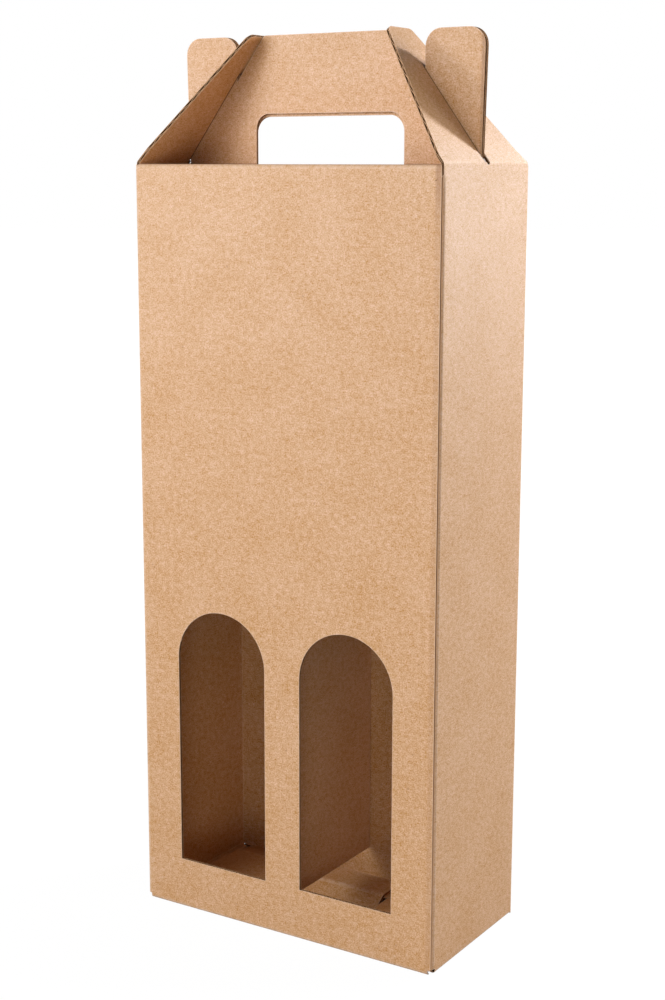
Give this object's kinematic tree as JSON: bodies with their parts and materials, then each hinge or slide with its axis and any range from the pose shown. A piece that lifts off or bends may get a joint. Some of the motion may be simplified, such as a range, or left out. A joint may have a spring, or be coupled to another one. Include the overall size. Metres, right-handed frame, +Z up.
{
  "type": "bottle shipping box",
  "caption": "Tall folded kraft carton with arched front windows, an inner divider, a locking base and a gabled handle sheet held by slitted side flaps.",
  "frame": {"origin": "centre of the base, on the plane the box stands on", "axes": "+Z up along the box's height, +X to the right along the front panel, +Y from the front panel to the back"},
  "size_m": [0.157, 0.0792, 0.4073],
  "materials": {
    "carton": "matte kraft liner over fine fluting",
    "divider": "matte kraft liner over fine fluting"
  },
  "bodies": {
    "root": {"carton": "carton", "divider": "divider"}
  },
  "joints": []
}
